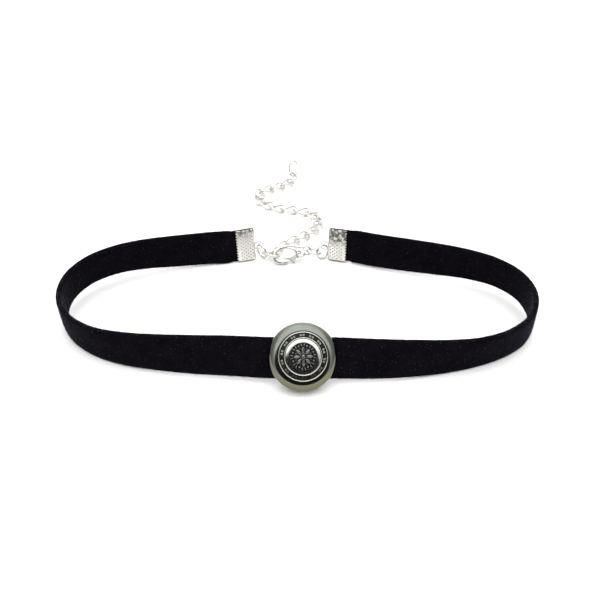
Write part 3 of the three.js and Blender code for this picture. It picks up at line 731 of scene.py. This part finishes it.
def discProfile():
    # Half of the disc's cut shape, as radius and height, from the back's middle round to the front
    b = button
    half, foot = b["bead"] / 2, b["bead"] * b["beadFoot"]
    bandInner, rimInner = b["outerRing"] + b["bead"], b["radius"] - b["backRim"]
    rimRound, edge = (b["rimRound"], b["rimRound"]), (b["edgeWidth"], b["edgeHeight"])
    points = [(0, b["backHollow"]), (rimInner - b["backSlope"], b["backHollow"])]
    points += arc((rimInner + b["rimInset"], b["rimRound"]), rimRound, 180, 270, 4)
    points += arc((b["radius"] - b["edgeWidth"], b["edgeHeight"]), edge, -90, 0, 7)
    points += arc((bandInner, b["rim"]), (b["radius"] - bandInner, b["band"]), 3, 90, 27)
    points += [(b["outerRing"] + half + b["bandFoot"], buttonTop)]
    points += arc((b["outerRing"], buttonTop), (half, b["beadHeight"]), 12, 150, 12)
    outer, inner, fillet = b["outerRing"] - foot, b["innerRing"] + foot, b["fillet"]
    points += [(outer, channelFloor + fillet), (outer - fillet, channelFloor)]
    points += [(inner + fillet, channelFloor), (inner, channelFloor + fillet)]
    points += arc((b["innerRing"], buttonTop), (half, b["beadHeight"]), 12, 140, 12)
    outside = b["innerRing"] - half * b["shoulderStart"]
    inside = b["medallion"] - b["shoulderTuck"]
    for share in np.linspace(1, 0, 10):
        fall = b["shoulder"] * share ** b["shoulderBend"]
        points.append((inside + (outside - inside) * share, buttonTop + b["shoulderTop"] - fall))
    points.append((inside - b["shoulderLip"], channelFloor))
    return points


# Where the rings' beads and the shoulder inside them get a painted highlight
highlightBand = {"half": 0.16, "full": 1.3, "beadAbove": 0.1, "shoulderAbove": 0.02, "shoulder": 0.6}


def paintHighlight(piece):
    places = meshPlaces(piece.data) - discMiddle
    above = places @ discFacing - buttonTop
    radius = np.hypot(places @ discAcross, places @ discUp)
    paintedHighlight = np.zeros(len(places))
    for ring in ("outerRing", "innerRing"):
        share = np.clip(highlightBand["full"] - np.abs(radius - button[ring]) / highlightBand["half"], 0, 1)
        paintedHighlight = np.maximum(paintedHighlight, share * (above > highlightBand["beadAbove"]))
    within = radius < button["innerRing"] - button["bead"] / 2
    shoulder = within & (above > highlightBand["shoulderAbove"])
    # painted highlight, as an attribute for the material
    paint(piece.data, "paintedHighlight", np.maximum(paintedHighlight, shoulder * highlightBand["shoulder"]))


def makeDisc():
    # The profile turned round the disc's own axis
    sides = button["sides"]
    turns = np.linspace(0, 2 * math.pi, sides, endpoint=False)
    rings = [
        np.stack([np.cos(turns) * r, np.sin(turns) * r, np.full(sides, h)], axis=1)
        for r, h in discProfile() if r > 0
    ]
    faces = gridFaces(len(rings), sides) + capFaces(len(rings), sides)
    faces = [tuple(reversed(f)) for f in faces]
    points = onDisc(np.vstack(rings))
    piece = makeMesh("button_disc", points, faces, gunmetal, crease=button["crease"])
    paintHighlight(piece)
    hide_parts("button")


makeDisc()


# The medallion's raised ornament, on a low dome. out: distance from the middle
relief = {
    "petals": 8,
    "petal": {"out": 1.62, "length": 0.82, "width": 0.46, "height": 0.3},
    "rib": {"width": 0.075, "height": 0.35},
    "bead": {"out": 2.72, "length": 0.34, "width": 0.34, "height": 0.34},
    "drop": {"out": 1.98, "length": 0.3, "width": 0.16, "height": 0.2},
    "leaf": {"out": 2.85, "length": 0.5, "width": 0.2, "height": 0.26},
    "leafBend": {"out": 2.75, "apart": 0.33, "splay": 0.25},
    "boss": {"width": 0.62, "height": 0.46},
    "collar": {"out": 0.8, "width": 0.09, "height": 0.3},
    "rope": {"out": 3.36, "width": 0.14, "height": 0.14, "strands": 44, "twist": 0.35},
    "grain": {"out": 2.3, "width": 0.35, "height": 0.03, "strands": 64},
    "groundBelow": 0.02,
    "brightAbove": 0.26,
}


def raisedOval(x, y, row):
    oval = 1 - (x / row["width"]) ** 2 - ((y - row["out"]) / row["length"]) ** 2
    return row["height"] * np.clip(oval, 0, None) ** 0.5


def raisedRound(r, row):
    # A ring of height round the middle, soft on both sides
    return row["height"] * np.exp(-(((r - row["out"]) / row["width"]) ** 2))


def medallionHeight(r, turn):
    # The height at each place, and how far the ornament stands out there, from 0 to 1
    dome = np.sqrt(np.clip(1 - (r / button["medallion"]) ** 2, 0, None))
    dome = button["step"] + button["rise"] * dome

    def sector(shift):
        step = 2 * math.pi / relief["petals"]
        local = (turn - shift + step / 2) % step - step / 2
        return r * np.sin(local), r * np.cos(local)

    x, y = sector(0)
    rib = relief["rib"]["height"] * np.exp(-((x / relief["rib"]["width"]) ** 2))
    forms = [raisedOval(x, y, relief["petal"]) * (1 + rib)]
    bend = relief["leafBend"]
    for side in (-1, 1):
        bent = x - side * (bend["apart"] + bend["splay"] * (y - bend["out"]))
        forms.append(raisedOval(bent, y, relief["leaf"]))
    x, y = sector(math.pi / relief["petals"])
    forms += [raisedOval(x, y, relief["bead"]), raisedOval(x, y, relief["drop"])]
    forms.append(raisedOval(r, 0, {**relief["boss"], "out": 0, "length": 1}))
    forms.append(raisedRound(r, relief["collar"]))
    rope = relief["rope"]
    twist = 1 - rope["twist"] + rope["twist"] * np.cos(turn * rope["strands"])
    forms.append(raisedRound(r, rope) * twist)
    lift = np.maximum.reduce([np.zeros_like(r), *forms])
    grain = raisedRound(r, relief["grain"]) * np.cos(turn * relief["grain"]["strands"])
    height = dome + lift + np.where(lift < relief["groundBelow"], grain, 0)
    return height, np.clip(lift / relief["brightAbove"], 0, 1)


reliefLook = {
    "mottleScale": 1800,
    "mottleShare": 0.45,
    "hollow": (0.01, 0.008, 0.007),
    "middle": (0.026, 0.025, 0.024),
    "raised": (0.12, 0.124, 0.122),
    "hollowRoughness": 0.36,
    "raisedRoughness": 0.1,
}


def medallionMaterial():
    # The same plating, rubbed bright on the raised ornament and blackened between
    material, nodes, links, shader = newMaterial("gunmetal_relief")
    mottle = mottled(nodes, links, objectPlace(nodes), reliefLook["mottleScale"], 3, 0.6)
    mixed = nodes.new("ShaderNodeMath")
    mixed.operation = "MULTIPLY_ADD"
    mixed.inputs[1].default_value = reliefLook["mottleShare"]
    links.new(mottle, mixed.inputs[0])
    links.new(marked(nodes, "raised"), mixed.inputs[2])
    value = mixed.outputs["Value"]
    tones = [(0.2, reliefLook["hollow"]), (0.6, reliefLook["middle"]), (1, reliefLook["raised"])]
    links.new(ramp(nodes, links, value, tones), shader.inputs["Base Color"])
    polish = [(0.2, grey(reliefLook["hollowRoughness"])), (0.9, grey(reliefLook["raisedRoughness"]))]
    links.new(ramp(nodes, links, value, polish), shader.inputs["Roughness"])
    shader.inputs["Metallic"].default_value = 1
    return material


medallionMesh = {"rings": 84, "sides": 480, "firstRing": 0.012}


def makeMedallion():
    rings, sides = medallionMesh["rings"], medallionMesh["sides"]
    turns = np.linspace(0, 2 * math.pi, sides, endpoint=False)
    shares = np.sin(np.linspace(medallionMesh["firstRing"], math.pi / 2, rings))
    points, raised = [], []
    for share in shares:
        r = np.full(sides, share * button["medallion"])
        height, lift = medallionHeight(r, turns)
        points.append(np.stack([r * np.cos(turns), r * np.sin(turns), height + channelFloor], axis=1))
        raised.append(lift)
    edge = points[-1].copy()
    edge[:, 2] = channelFloor - button["sunk"]
    points.append(edge)
    raised.append(np.zeros(sides))
    faces = gridFaces(rings + 1, sides) + capFaces(rings + 1, sides)
    points = onDisc(np.vstack(points))
    piece = makeMesh("button_medallion", points, faces, medallionMaterial())
    paint(piece.data, "raised", np.concatenate(raised))


makeMedallion()


# Plain marks in the channel between the two rings, each of two raised bars
mark = {
    "count": 14,
    "length": 1.25,
    "width": 0.6,
    "height": 0.3,
    "halfGap": 0.06,
    "inset": 0.05,
    "crease": 40,
    "bevel": 0.05,
}
markMetal = metalMaterial(
    "gunmetal_rubbed", (0.34, 0.345, 0.25), (0.22, 0.22, 0.16), 0.4, 0.05,
    # painted shade: the lower marks fade nearly to black
    paintedLowerTint={"full": 5.5, "none": 9.0, "colour": (0.035, 0.034, 0.026)},
)


def makeMarks():
    radius = (button["outerRing"] + button["innerRing"]) / 2
    layers = ((channelFloor - button["sunk"], 0), (channelFloor + mark["height"], mark["inset"]))
    quads = [(3, 2, 1, 0), (4, 5, 6, 7), (0, 1, 5, 4), (1, 2, 6, 5), (2, 3, 7, 6), (3, 0, 4, 7)]
    points, faces = [], []
    for i in range(mark["count"]):
        turn = 2 * math.pi * i / mark["count"] + math.pi / 2
        for low, high in ((-mark["length"] / 2, -mark["halfGap"]), (mark["halfGap"], mark["length"] / 2)):
            start = len(points)
            for out, inset in layers:
                for x, y in ((low, -1), (high, -1), (high, 1), (low, 1)):
                    sideways = x + (inset if x == low else -inset)
                    away = y * (mark["width"] / 2 - inset) + radius
                    angle = turn - sideways / radius
                    points.append((math.cos(angle) * away, math.sin(angle) * away, out))
            faces += [tuple(start + k for k in quad) for quad in quads]
    piece = makeMesh("button_marks", onDisc(points), faces, markMetal, crease=mark["crease"])
    bevel = piece.modifiers.new("soft edges", "BEVEL")
    bevel.width = mark["bevel"] * mm
    bevel.segments = 2
    bevel.limit_method = "ANGLE"


makeMarks()
print("button made")


# The shank behind the button, and the thread that holds it
shank = {
    "wire": 0.9,
    "inner": 1.8,
    "standOff": 1.4,
    "threadWire": 0.8,
    "air": 0.85,
    "solder": 0.3,
    "flare": (0.62, 0.54, 0.5),
    "legSteps": 12,
    "bendSteps": 26,
    "bendTrim": 0.1,
    "sides": 20,
}


def makeShank():
    wire, sides = shank["wire"], shank["sides"]
    half = (shank["inner"] + wire) / 2
    reach = shank["standOff"] + ribbon["thickness"] + shank["threadWire"] + wire + shank["air"]
    bend = -(reach - wire / 2 - half)
    leg = np.linspace(button["backHollow"] + shank["solder"], bend, shank["legSteps"])
    turns = np.linspace(shank["bendTrim"], math.pi - shank["bendTrim"], shank["bendSteps"])
    line = [(half, 0, h) for h in leg]
    line += [(half * math.cos(t), 0, bend - half * math.sin(t)) for t in turns]
    line += [(-half, 0, h) for h in leg[::-1]]
    radius = np.full(len(line), wire / 2)
    flare = [wire * share for share in shank["flare"]]
    radius[:len(flare)] = flare
    radius[-len(flare):] = flare[::-1]
    points = onDisc(tube(line, radius, sides, False))
    faces = gridFaces(len(line), sides) + capFaces(len(line), sides)
    makeMesh("button_shank", points, faces, gunmetal)


makeShank()

thread = {"strands": 5, "turns": 2.2, "coil": 0.22, "radius": 0.165, "steps": 90, "sides": 8}


def threadMaterial():
    material, nodes, links, shader = newMaterial("sewing_thread")
    twist = addNode(nodes, "ShaderNodeTexWave", Scale=2600, Distortion=1.5, Detail=1)
    links.new(objectPlace(nodes), twist.inputs["Vector"])
    stops = [(0, (0.006, 0.006, 0.008)), (1, (0.03, 0.03, 0.035))]
    links.new(ramp(nodes, links, twist.outputs["Fac"], stops), shader.inputs["Base Color"])
    shader.inputs["Roughness"].default_value = 0.7
    return material


def makeThread():
    # Twisted strands of sewing thread, in the room of the bar that stands for them
    places = nodePoints("button_thread")
    middle, ways = spread(places)
    along, one = ways[:, 2], ways[:, 0]
    other = np.cross(along, one)
    steps, sides = thread["steps"], thread["sides"]
    shares = np.linspace(-0.5, 0.5, steps)
    straight = middle + np.outer(shares * np.ptp((places - middle) @ along), along)
    points, faces = [], []
    for strand in range(thread["strands"]):
        turn = 2 * math.pi * (strand / thread["strands"] + shares * thread["turns"])
        coil = np.outer(np.cos(turn), one) + np.outer(np.sin(turn), other)
        start = len(points) * sides * steps
        points.append(tube(straight + coil * thread["coil"], thread["radius"], sides, False))
        faces += gridFaces(steps, sides, start=start) + capFaces(steps, sides, start=start)
    piece = makeMesh("sewing_thread", np.vstack(points), faces, threadMaterial())
    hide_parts("button_thread")


makeThread()
print("shank and thread made")


# Cast and folded metal: the solid's own form, with its edges softened as in the real one
def matrixOf(x, y, z, origin):
    return Matrix([
        [x[0], y[0], z[0], origin[0] * mm],
        [x[1], y[1], z[1], origin[1] * mm],
        [x[2], y[2], z[2], origin[2] * mm],
        [0, 0, 0, 1],
    ])


def softened(name, node, matrix, material, voxel, rounds, body="choker", stamped=None):
    # A copy of the node's form, remade in fine even faces in its own straight frame
    fresh = frame["nodes"][node].data.copy()
    fresh.transform(matrix.inverted())
    piece = bpy.data.objects.new(name, fresh)
    scene.collection.objects.link(piece)
    remake = piece.modifiers.new("remake", "REMESH")
    remake.mode = "VOXEL"
    remake.voxel_size = voxel * mm
    soften = piece.modifiers.new("soften", "SMOOTH")
    soften.factor = 0.5
    soften.iterations = rounds
    bpy.context.view_layer.update()
    graph = bpy.context.evaluated_depsgraph_get()
    done = bpy.data.meshes.new_from_object(piece.evaluated_get(graph))
    piece.modifiers.clear()
    piece.data = done
    bpy.data.meshes.remove(fresh)
    done.name = name
    done.materials.clear()
    done.materials.append(material)
    done.polygons.foreach_set("use_smooth", [True] * len(done.polygons))
    if stamped:
        pressed, paintedDarkness = pressDots(meshPlaces(done), stamped)
        done.vertices.foreach_set("co", (pressed * mm).ravel())
        # the pits' painted shade and the tops' painted dark reflection, for the material
        paint(done, "paintedDarkness", paintedDarkness)
    done.transform(matrix)
    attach(piece, body)
    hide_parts(node)
    print(name, len(done.polygons), "faces")


# The clamps' stamped pits with painted shade in them, and painted dark reflections towards the plates'
# tops; x runs to the clasp, y up the plate, z out of it
clampLook = {
    "along": 0.7,
    "across": 1.06,
    "firstColumn": -0.75,
    "pit": 0.23,
    "pitSteepness": 1.2,
    "depth": 0.12,
    "edgeMargin": 0.45,
    "mouthMargin": 0.95,
    "foldMargin": 0.05,
    "plateDepth": 0.25,
    "plateFade": 0.2,
    # how dark the pits' painted shade is
    "paintedDarkness": 0.95,
    # how dark the painted reflection near the plates' tops is
    "darkReflection": 0.85,
    "patchStart": {"left": 0.24, "right": -0.04},
    "patchFade": 0.2,
    "blotchScale": 1.5,
    "blotchGain": 1.5,
    "blotchBase": 0.6,
    "voxel": 0.08,
    "rounds": 1,
}


def pressDots(points, side):
    # Rows of small pits stamped into both plates, every second row shifted by half
    look = clampLook
    x, y, z = points.T
    column = np.round((x - look["firstColumn"]) / look["along"])
    nearX = column * look["along"] + look["firstColumn"]
    shift = np.where(column % 2 == 0, 0, 0.5)
    nearY = (np.round(y / look["across"] - shift) + shift) * look["across"]
    away = np.hypot(x - nearX, y - nearY) / look["pit"]
    pressed = np.clip(1 - away**2, 0, 1) ** look["pitSteepness"]
    inside = np.abs(nearY) < clamp["height"] / 2 - look["edgeMargin"]
    inside &= nearX > look["mouthMargin"] - clamp["length"]
    inside &= nearX < look["foldMargin"]
    outer = (np.abs(z) - (clamp["fold"] - look["plateDepth"])) / look["plateFade"]
    pressed = pressed * np.clip(outer, 0, 1) * inside
    points[:, 2] -= np.sign(z) * pressed * look["depth"]
    # painted dark reflection, in blotches towards the plates' upper edges
    blotch = np.array([noise.noise(Vector(p * look["blotchScale"])) for p in points])
    blotch = blotch * look["blotchGain"] + look["blotchBase"]
    raised = y / clamp["height"] - look["patchStart"][side]
    raised = np.clip(raised, 0, look["patchFade"]) / look["patchFade"]
    darkReflection = np.clip(blotch, 0, 1) * raised * look["darkReflection"]
    # pits darkened as painted shade, upper blotches as painted dark reflection
    return points, np.clip(np.maximum(pressed * look["paintedDarkness"], darkReflection), 0, 1)


for side, held in clamps.items():
    origin = held["end"] - held["towards"] * clamp["fold"]
    face = np.cross(held["towards"], held["across"])
    softened(
        side + "_end_clamp", side + "_clamp",
        matrixOf(held["towards"], held["across"], face, origin), clampSilver,
        voxel=clampLook["voxel"], rounds=clampLook["rounds"], stamped=side,
    )

claspWay = {"run": (0.973, 0.212, 0.089), "lift": math.radians(54.54)}
claspX = unit(claspWay["run"])
claspZ = unit(np.cross(claspX, [0, math.cos(claspWay["lift"]), math.sin(claspWay["lift"])]))
claspY = np.cross(claspZ, claspX)
claspPlace = matrixOf(claspX, claspY, claspZ, nodePoints("clasp_body").mean(0))
softened("clasp_cast_body", "clasp_body", claspPlace, silver, voxel=0.09, rounds=6)
softened(
    "clasp_trigger", "clasp_lever", claspPlace, silver,
    voxel=0.07, rounds=3, body="clasp_lever",
)

rivet = {"radius": 0.35, "head": 0.12, "drawnIn": 0.92, "tip": 0.002, "sides": 32}


def makeRivet():
    # A pin with a low domed head at each end
    places = nodePoints("clasp_rivet")
    middle = (places.min(0) + places.max(0)) / 2
    straight = np.ptp((places - middle) @ claspZ) / 2 - rivet["head"]
    dome = (rivet["radius"] * rivet["drawnIn"], rivet["head"])
    profile = arc((0, -straight), dome, 270, 350, 6) + arc((0, straight), dome, 10, 90, 6)
    turns = np.linspace(0, 2 * math.pi, rivet["sides"], endpoint=False)
    ring = np.outer(np.cos(turns), claspX) + np.outer(np.sin(turns), claspY)
    points = np.vstack([middle + ring * max(r, rivet["tip"]) + claspZ * h for r, h in profile])
    faces = gridFaces(len(profile), rivet["sides"]) + capFaces(len(profile), rivet["sides"])
    piece = makeMesh("clasp_rivet_pin", points, faces, silver)
    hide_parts("clasp_rivet")


makeRivet()


# Jump rings: round wire, cut once and closed again
ringWire = {"radius": 2.15, "wire": 0.7, "cut": 0.05, "cutRound": 0.04, "steps": 96, "sides": 20}


def makeRing(name, node, cutTurn):
    middle, one, other = ownAxes(node)[:3]
    half = ringWire["cut"] / 2 / ringWire["radius"]
    turns = np.linspace(half, 2 * math.pi - half, ringWire["steps"]) + math.radians(cutTurn)
    line = np.outer(np.cos(turns), one) + np.outer(np.sin(turns), other)
    line = middle + ringWire["radius"] * line
    radius = np.full(len(line), ringWire["wire"] / 2)
    radius[0] = radius[-1] = ringWire["wire"] / 2 - ringWire["cutRound"]
    count, sides = ringWire["steps"], ringWire["sides"]
    faces = gridFaces(count, sides) + capFaces(count, sides)
    piece = makeMesh(name, tube(line, radius, sides, False), faces, silver)
    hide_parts(node)


makeRing("jump_ring_left", "left_ring", 70)
makeRing("jump_ring_right", "right_ring", 200)
makeRing("jump_ring_tail", "tail_ring", 130)


# The chain's links, each an oval of wire, all but the first twisted along their length
link = {
    "length": 6.5,
    "width": 4.2,
    "wire": 0.75,
    "bluntness": 0.85,
    "twist": 45,
    "steps": 80,
    "sides": 18,
}


def linkLine(twist):
    halfLength = (link["length"] - link["wire"]) / 2
    halfWidth = (link["width"] - link["wire"]) / 2
    turns = fineTurns()
    x = signedPower(np.cos(turns), link["bluntness"]) * halfLength
    y = signedPower(np.sin(turns), link["bluntness"]) * halfWidth
    roll = math.radians(twist) * x / halfLength
    line = np.stack([x, y * np.cos(roll), y * np.sin(roll)], axis=1)
    return steppedRound(line, link["steps"])


def makeLink(name, node, twist):
    middle, *ways = ownAxes(node)
    points = tube(middle + linkLine(twist) @ np.array(ways), link["wire"] / 2, link["sides"], True)
    faces = gridFaces(link["steps"], link["sides"], closedAlong=True)
    piece = makeMesh(name, points, faces, chainSilver)
    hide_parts(node)


linkNodes = sorted(n for n in frame["nodes"] if n.startswith("chain_"))
for node in linkNodes:
    makeLink(node.replace("chain_", "curb_"), node, 0 if node.endswith("_01") else link["twist"])
print("chain made,", len(linkNodes), "links")


# Floor and light
def makeFloor():
    mesh = bpy.data.meshes.new("floor")
    reach = 3.0
    corners = [(-reach, -reach, 0), (reach, -reach, 0), (reach, reach, 0), (-reach, reach, 0)]
    mesh.from_pydata(corners, [], [(0, 1, 2, 3)])
    material, *_, shader = newMaterial("pale_floor")
    shader.inputs["Base Color"].default_value = (0.92, 0.92, 0.92, 1)
    shader.inputs["Roughness"].default_value = 0.9
    shader.inputs["Specular IOR Level"].default_value = 0.1
    mesh.materials.append(material)
    floor = bpy.data.objects.new("floor", mesh)
    scene.collection.objects.link(floor)


makeFloor()

overhead = {"place": Vector((0, -0.2, 1.3)), "size": (2.4, 2.0), "power": 13}


def makeLight():
    data = bpy.data.lights.new("overhead", "AREA")
    data.shape = "RECTANGLE"
    data.size, data.size_y = overhead["size"]
    data.energy = overhead["power"]
    light = bpy.data.objects.new("overhead", data)
    scene.collection.objects.link(light)
    light.location = overhead["place"]
    light.rotation_mode = "QUATERNION"
    light.rotation_quaternion = (-overhead["place"]).to_track_quat("-Z", "Y")


makeLight()

# A white tent all round, with the dark room seen through its opening at the front
tent = {
    "white": (1.0, 1.0, 1.0),
    "opening": (0.02, 0.018, 0.017),
    "side": (0.27, 0.27, 0.255),
    "height": 22,
    "wide": 0.55,
    "inner": 0.948,
    "outer": 0.92,
    "sideStart": 0.15,
    "sideFull": 1.0,
    "strength": 2.2,
}


def makeWorld():
    world = bpy.data.worlds.new("studio")
    world.use_nodes = True
    nodes, links = world.node_tree.nodes, world.node_tree.links
    way = nodes.new("ShaderNodeTexCoord").outputs["Generated"]
    nearness = nodes.new("ShaderNodeVectorMath")
    nearness.operation = "DOT_PRODUCT"
    up = math.radians(tent["height"])
    nearness.inputs[1].default_value = (0, -math.cos(up), math.sin(up))
    # drawn narrower from side to side, so that the opening is wider than it is high
    drawnIn = nodes.new("ShaderNodeVectorMath")
    drawnIn.operation = "MULTIPLY"
    drawnIn.inputs[1].default_value = (tent["wide"], 1, 1)
    links.new(way, drawnIn.inputs[0])
    evened = nodes.new("ShaderNodeVectorMath")
    evened.operation = "NORMALIZE"
    links.new(drawnIn.outputs["Vector"], evened.inputs[0])
    links.new(evened.outputs["Vector"], nearness.inputs[0])
    colour = ramp(
        nodes, links, nearness.outputs["Value"],
        [(tent["outer"], tent["white"]), (tent["inner"], tent["opening"])],
    )
    apart = nodes.new("ShaderNodeVectorMath")
    apart.operation = "ABSOLUTE"
    links.new(way, apart.inputs[0])
    split = nodes.new("ShaderNodeSeparateXYZ")
    links.new(apart.outputs["Vector"], split.inputs["Vector"])
    sides = ramp(
        nodes, links, split.outputs["X"],
        [(tent["sideStart"], tent["white"]), (tent["sideFull"], tent["side"])], "EASE",
    )
    both = nodes.new("ShaderNodeVectorMath")
    both.operation = "MULTIPLY"
    links.new(colour, both.inputs[0])
    links.new(sides, both.inputs[1])
    background = nodes["Background"]
    links.new(both.outputs["Vector"], background.inputs["Color"])
    background.inputs["Strength"].default_value = tent["strength"]
    scene.world = world


makeWorld()
scene.view_settings.view_transform = "Standard"

print("done")
